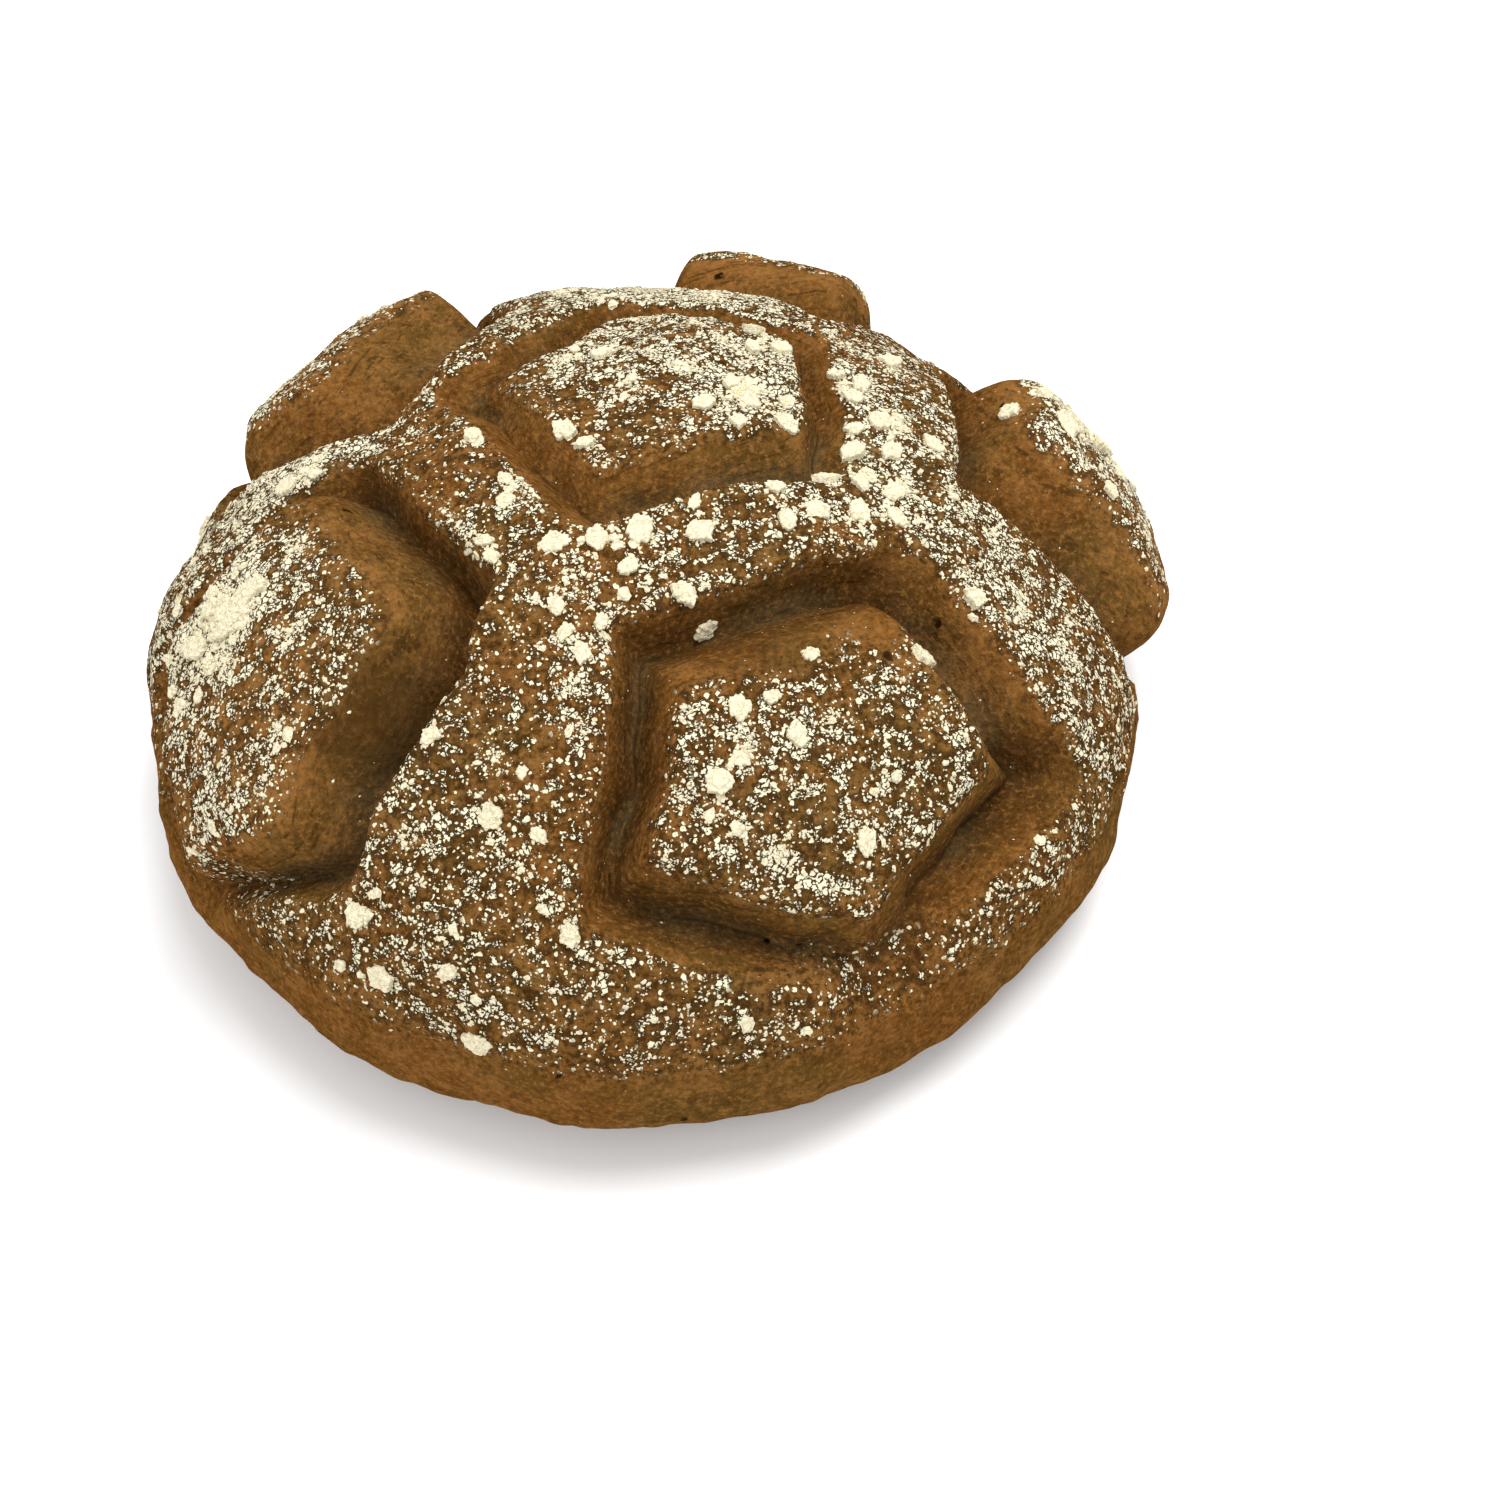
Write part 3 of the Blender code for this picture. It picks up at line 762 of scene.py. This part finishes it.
def add_flakes(material):
    """The large flakes of flour, at the places of the ones in the CAD."""
    form, directions = crust_form(FLAKE_LEVEL, 0, False)
    places = flake_places(form, directions)
    form.free()
    draw = np.random.default_rng(FLAKE_SHAPE_SEED)
    shape, shape_faces = ball(FLAKE_SHAPE_LEVEL)
    upper = shape[:, 2] > 0
    flat = np.hypot(shape[:, 0], shape[:, 1]) ** FLAKE_RIM_POWER
    angles = np.arctan2(shape[:, 1], shape[:, 0])
    vertices = []
    faces = []
    for place, normal, breadth in places:
        slimness = draw.uniform(*FLAKE_SLIMNESS)
        thickness = breadth * draw.uniform(*FLAKE_THICKNESS_SHARE)
        reach = flat * ragged_outline(angles, draw) * breadth / 2
        height = np.sign(shape[:, 2]) * np.abs(shape[:, 2]) ** FLAKE_FLATNESS
        height *= (thickness + FLAKE_SINK) / 2
        height += (thickness - FLAKE_SINK) / 2
        local = np.column_stack([np.cos(angles) * reach, np.sin(angles) * reach * slimness, height])
        local[:, 2] += local[:, :2] @ draw.uniform(-FLAKE_TILT, FLAKE_TILT, 2) * upper
        seed = int(draw.integers(*FLAKE_BUMP_SEEDS))
        bumps = crust_waves(local + breadth * FLAKE_BUMP_SHIFT, seed, FLAKE_BUMP_LENGTHS)
        local[:, 2] += bumps * FLAKE_BUMP_HEIGHT * upper
        along, across = tangents(np.array([normal]), np.array([draw.uniform(0, 2 * math.pi)]))
        faces.extend((shape_faces + len(vertices) * len(shape)).tolist())
        vertices.append(np.array(place) + local @ np.array([along[0], across[0], normal]))
    add_piece("flour_flakes", np.concatenate(vertices), faces, material, smooth=False)
    return places


def add_flour(vertices, faces, flour_mask, flakes, material):
    """Crumbs, grains and specks of flour, in clusters and around the flakes."""
    draw = np.random.default_rng(FLOUR_SEED)
    beside = np.zeros(len(vertices))
    for place, _, breadth in flakes:
        far = np.linalg.norm(vertices - np.array(place), axis=1) / breadth
        beside += np.exp(-(((far - BESIDE_FLAKE) / BESIDE_REACH) ** 2))
    clusters = np.exp(crust_waves(vertices, FLOUR_SEED, CLUSTER_LENGTHS) * CLUSTER_STRENGTH)
    even = flour_mask**FLOUR_CONTRAST * clusters
    kinds = {
        CRUMBS: even**CRUMB_CONTRAST * (1 + BESIDE_CRUMBS * beside),
        GRAINS: even * (1 + BESIDE_GRAINS * beside),
        SPECKS: even + STRAY_SPECKS * (vertices[:, 2] > FLOUR_LINE_HEIGHTS[0]),
    }
    for bits, weights in kinds.items():
        add_bits(bits, draw, vertices, faces, weights, material)


def add_node(tree, kind, inputs=None, **settings):
    """A shader node with its settings and inputs, which are values or other nodes' outputs."""
    node = tree.nodes.new(kind)
    for name, value in settings.items():
        setattr(node, name, value)
    for key, value in (inputs or {}).items():
        if isinstance(value, bpy.types.NodeSocket):
            tree.links.new(value, node.inputs[key])
        else:
            node.inputs[key].default_value = value
    return node


def maths(tree, operation, *values):
    """The result of a sum on values or other nodes' outputs."""
    return add_node(tree, "ShaderNodeMath", dict(enumerate(values)), operation=operation).outputs[0]


def product(tree, first, second):
    """Two masks multiplied."""
    return maths(tree, "MULTIPLY", first, second)


def added(tree, base, value, weight):
    """The base, with the value times its weight added to it."""
    return maths(tree, "ADD", base, maths(tree, "MULTIPLY", value, weight))


def vector_maths(tree, operation, first, second):
    """The result of a sum on two vectors."""
    inputs = {0: first, 1: second}
    return add_node(tree, "ShaderNodeVectorMath", inputs, operation=operation).outputs[0]


def mixed(tree, share, first, second):
    """Two colours mixed by a share."""
    inputs = {MIX_SHARE: share, MIX_FIRST: first, MIX_SECOND: second}
    return add_node(tree, "ShaderNodeMix", inputs, data_type="RGBA").outputs[MIX_RESULT]


def shown(tree, value, band):
    """0 at the band's low end and past it, the band's strength at its high end and past that."""
    inputs = {"Value": value, "From Min": band.low, "From Max": band.high, "To Max": band.strength}
    return add_node(tree, "ShaderNodeMapRange", inputs, interpolation_type="SMOOTHSTEP").outputs[0]


def noise(tree, place, kind):
    """Fractal noise around 0.5."""
    inputs = {"Vector": place, "Scale": kind.scale, "Detail": kind.detail, "Roughness": kind.roughness}
    return add_node(tree, "ShaderNodeTexNoise", inputs).outputs[0]


def bent(tree, place, scale, reach):
    """The place, moved by up to half the reach by noise of this scale."""
    inputs = {"Vector": place, "Scale": scale, "Detail": BEND_DETAIL}
    offset = add_node(tree, "ShaderNodeTexNoise", inputs).outputs["Color"]
    centred = vector_maths(tree, "SUBTRACT", offset, NOISE_MIDDLE)
    scaled = vector_maths(tree, "MULTIPLY", centred, (reach, reach, reach))
    return vector_maths(tree, "ADD", place, scaled)


def mask_value(tree, name):
    """The mask of this name on the crust's mesh."""
    return add_node(tree, "ShaderNodeAttribute", attribute_name=name).outputs["Fac"]


def cells(tree, place, scale):
    """The distance from the middle of the nearest cell, and the cell's own chance, 0 to 1."""
    nearest = add_node(tree, "ShaderNodeTexVoronoi", {"Vector": place, "Scale": scale})
    chance = add_node(tree, "ShaderNodeSeparateColor", {0: nearest.outputs["Color"]}).outputs[0]
    return nearest.outputs["Distance"], chance


def cell_rims(tree, place, scale):
    """The distance from the rim of the nearest cell."""
    inputs = {"Vector": place, "Scale": scale}
    nearest = add_node(tree, "ShaderNodeTexVoronoi", inputs, feature="DISTANCE_TO_EDGE")
    return nearest.outputs["Distance"]


def fibres(tree, place, crease):
    """Fine lines along the creases, as they are cut by the distance from them."""
    stretched = vector_maths(tree, "MULTIPLY", place, (FIBRE_SCALE, FIBRE_SCALE, FIBRE_SCALE))
    fine = maths(tree, "MULTIPLY", crease, FIBRE_FINENESS)
    across = add_node(tree, "ShaderNodeCombineXYZ", {"X": fine}).outputs[0]
    return noise(tree, vector_maths(tree, "ADD", stretched, across), FIBRES)


def brown_with_painted_light_and_shade(tree, place, mottle, pores):
    """The crust's colour without its pits and flour: painted shade in the hollows and at the creases'
    bottoms, painted light beside a lighter crust on the swollen parts, and the mask's painted light and
    shade. Bare and swollen parts have fewer dark pores.
    """
    masks = ("flour", "crease", "relief", "painted_lighting")
    flour, crease, relief, painted_lighting = (mask_value(tree, name) for name in masks)
    patches = noise(tree, place, PATCHES)
    blotches = noise(tree, place, BLOTCHES)
    distance = maths(tree, "ABSOLUTE", crease)
    swollen = shown(tree, relief, SWELLING_TONE_AND_PAINTED_LIGHT)
    lighter = maths(tree, "ADD", shown(tree, blotches, LIGHT_BLOTCHES), swollen)
    fibre = shown(tree, fibres(tree, place, crease), DARK_FIBRES)
    grey = shown(tree, distance, GREY_DISTANCE)
    slot_shade = shown(tree, distance, PAINTED_SLOT_SHADE)
    porous = maths(tree, "SUBTRACT", PORE_STRENGTH, swollen)
    porous = product(tree, porous, shown(tree, flour, PORE_FLOUR))
    layers = [
        (shown(tree, patches, OLIVE), CRUST_OLIVE),
        # Lighter blotches, and on the swollen parts a lighter crust with painted light.
        (lighter, CRUST_LIGHT),
        # Painted shade in the hollows.
        (shown(tree, relief, PAINTED_HOLLOW_SHADE), CRUST_DARK),
        # Painted light by the mask.
        (shown(tree, painted_lighting, PAINTED_LIGHT), CRUST_LIGHT),
        (shown(tree, mottle, DARK_MOTTLE), CRUST_DARK),
        (product(tree, fibre, shown(tree, distance, FIBRE_DISTANCE)), CRUST_DARK),
        (product(tree, grey, shown(tree, patches, GREY_PATCHES)), CREASE_GREY),
        (shown(tree, pores, LIGHT_PORES), CRUST_LIGHT),
        # Painted shade by the mask.
        (shown(tree, painted_lighting, PAINTED_SHADE), CRUST_DARK),
        # Painted shade at the creases' bottoms.
        (product(tree, slot_shade, shown(tree, blotches, SLOT_BLOTCHES)), PAINTED_DEEP_SHADE),
        (product(tree, shown(tree, pores, DARK_PORES), porous), CRUST_DARK),
    ]
    brown = CRUST_ORANGE
    for share, colour in layers:
        brown = mixed(tree, share, brown, colour)
    return brown


def pit_mask(tree, place):
    """A few small round holes that burst bubbles left in the crust, painted as near black spots of shade,
    with no hole in the mesh.
    """
    distance, chance = cells(tree, bent(tree, place, *PIT_BEND), PIT_SCALE)
    return product(tree, shown(tree, chance, PIT_CHANCE), shown(tree, distance, PIT_RIM))


def speck_mask(tree, place, scale, crowd):
    """Ragged specks, this many cells for each metre. crowd is the share of cells that have one."""
    ragged = bent(tree, place, scale * SPECK_BEND_SCALE, SPECK_BEND_REACH / scale)
    distance, chance = cells(tree, ragged, scale)
    present = shown(tree, maths(tree, "SUBTRACT", crowd, chance), SPECK_CHANCE)
    return product(tree, present, shown(tree, distance, SPECK_RIM))


def flour_masks(tree, place, flour, floury):
    """Where clumps and specks of flour cover the crust, where they shade it, and the clumps."""
    ragged = bent(tree, place, *CLUMP_BEND)
    clumps = noise(tree, ragged, CLUMPS)
    swaths = noise(tree, place, SWATHS)
    level = added(tree, added(tree, clumps, swaths, LEVEL_SWATHS), flour, LEVEL_FLOUR)
    granules = shown(tree, cell_rims(tree, ragged, GRANULE_SCALE), GRANULE_RIM)
    layer = product(tree, product(tree, shown(tree, level, LEVEL_COVERED), floury), granules)
    crowd = added(tree, maths(tree, "MULTIPLY", flour, CROWD_FLOUR), swaths, CROWD_SWATHS)
    coarse, fine = (speck_mask(tree, place, scale, crowd) for scale in SPECK_SCALES)
    specks = product(tree, maths(tree, "MAXIMUM", coarse, fine), floury)
    gaps = shown(tree, noise(tree, place, GAPS), GAP_RIM)
    cover = product(tree, maths(tree, "MAXIMUM", layer, specks), gaps)
    return cover, product(tree, shown(tree, level, LEVEL_SHADED), floury), clumps


def new_material(name):
    """A dull material, with its node tree and shader."""
    material = bpy.data.materials.new(name)
    material.use_nodes = True
    shader = material.node_tree.nodes["Principled BSDF"]
    shader.inputs["Roughness"].default_value = 1
    shader.inputs["Specular IOR Level"].default_value = 0
    return material, material.node_tree, shader


def add_bump(tree, shader, height, distance):
    """Bumps on the shader's surface. A height of 1 stands for this distance."""
    bump = add_node(tree, "ShaderNodeBump", {"Height": height, "Strength": 1, "Distance": distance})
    tree.links.new(bump.outputs[0], shader.inputs["Normal"])


def crust_material():
    """Brown baked crust, with clumps and specks of flour where the mask has it."""
    material, tree, shader = new_material("crust")
    place = add_node(tree, "ShaderNodeTexCoord").outputs["Object"]
    flour = mask_value(tree, "flour")
    floury = shown(tree, flour, FLOURY)
    mottle = noise(tree, place, MOTTLE)
    pores = noise(tree, place, PORES)
    cover, shade, clumps = flour_masks(tree, place, flour, floury)

    thick = maths(tree, "ADD", FILM_LEAST, shown(tree, flour, FILM_FLOUR))
    film = product(tree, shown(tree, mottle, FILM_MOTTLE), product(tree, floury, thick))
    # Painted shade: the pits are near black spots that stand for the shade inside holes.
    brown = mixed(tree, pit_mask(tree, place), brown_with_painted_light_and_shade(tree, place, mottle, pores), PAINTED_DEEP_SHADE)
    # Painted shade: the dusty crust darkens beside the clumps of flour, as the shade they cast.
    dusty_and_shaded = mixed(tree, shade, mixed(tree, film, brown, DUSTY_BROWN), CRUST_DARK)
    cream = mixed(tree, shown(tree, pores, YELLOW_GRAIN), FLOUR_CREAM, FLOUR_YELLOW)
    tree.links.new(mixed(tree, cover, dusty_and_shaded, cream), shader.inputs["Base Color"])

    height = product(tree, cover, maths(tree, "ADD", BUMP_FLOUR, clumps))
    height = added(tree, added(tree, height, mottle, BUMP_MOTTLE), pores, BUMP_PORES)
    add_bump(tree, shader, height, CRUST_BUMP)
    tree.links.new(shown(tree, cover, ROUGHNESS), shader.inputs["Roughness"])
    return material


def flour_material():
    """Dry cream flour, cracked, and a little yellow in places."""
    material, tree, shader = new_material("flour")
    place = add_node(tree, "ShaderNodeTexCoord").outputs["Object"]
    grain = noise(tree, place, GRAIN)
    yellow = shown(tree, noise(tree, place, TINT), YELLOW_TINT)
    colour = mixed(tree, yellow, FLOUR_CREAM, FLOUR_YELLOW)
    crack = shown(tree, cell_rims(tree, bent(tree, place, *CRACK_BEND), CRACK_SCALE), CRACK_RIM)
    colour = mixed(tree, crack, colour, FLOUR_CRACK)
    colour = mixed(tree, shown(tree, grain, DIMPLES), colour, FLOUR_CRACK)
    tree.links.new(colour, shader.inputs["Base Color"])
    add_bump(tree, shader, grain, FLOUR_BUMP)
    return material


def add_camera():
    """The camera, at the photograph's viewing angle."""
    right, down, forward = (Vector(axis) for axis in (CAMERA_RIGHT, CAMERA_DOWN, CAMERA_FORWARD))
    lens = bpy.data.cameras.new("camera")
    lens.lens = CAMERA_LENS
    lens.sensor_width = SENSOR_WIDTH
    camera = bpy.data.objects.new("camera", lens)
    turn = Matrix((right, -down, -forward)).transposed()
    camera.matrix_world = Matrix.Translation(CAMERA_PLACE) @ turn.to_4x4()
    bpy.context.scene.collection.objects.link(camera)
    bpy.context.scene.camera = camera


def add_lamp(lamp):
    """A soft round lamp that faces the loaf."""
    light = bpy.data.lights.new(lamp.name, "AREA")
    light.shape = "DISK"
    light.size = lamp.size
    light.energy = lamp.power
    piece = bpy.data.objects.new(lamp.name, light)
    piece.location = lamp.place
    towards = Vector(LAMP_TARGET) - Vector(lamp.place)
    piece.rotation_euler = towards.to_track_quat("-Z", "Y").to_euler()
    bpy.context.scene.collection.objects.link(piece)


def add_studio():
    """A white floor, an even white surround and soft lamps."""
    bpy.ops.mesh.primitive_plane_add(size=FLOOR_SIZE, location=(0, 0, 0))
    floor = bpy.context.object
    floor.name = "floor"
    white, _, shader = new_material("floor")
    shader.inputs["Base Color"].default_value = FLOOR_WHITE
    floor.data.materials.append(white)
    world = bpy.data.worlds.new("surround")
    world.use_nodes = True
    surround = world.node_tree.nodes["Background"]
    surround.inputs["Color"].default_value = (1, 1, 1, 1)
    surround.inputs["Strength"].default_value = SURROUND_STRENGTH
    bpy.context.scene.world = world
    for lamp in LAMPS:
        add_lamp(lamp)
    bpy.context.scene.view_settings.view_transform = "Standard"


def main():
    dry_flour = flour_material()
    vertices, faces, flour_mask = add_crust(crust_material())
    flakes = add_flakes(dry_flour)
    add_flour(vertices, faces, flour_mask, flakes, dry_flour)
    add_studio()
    add_camera()


main()
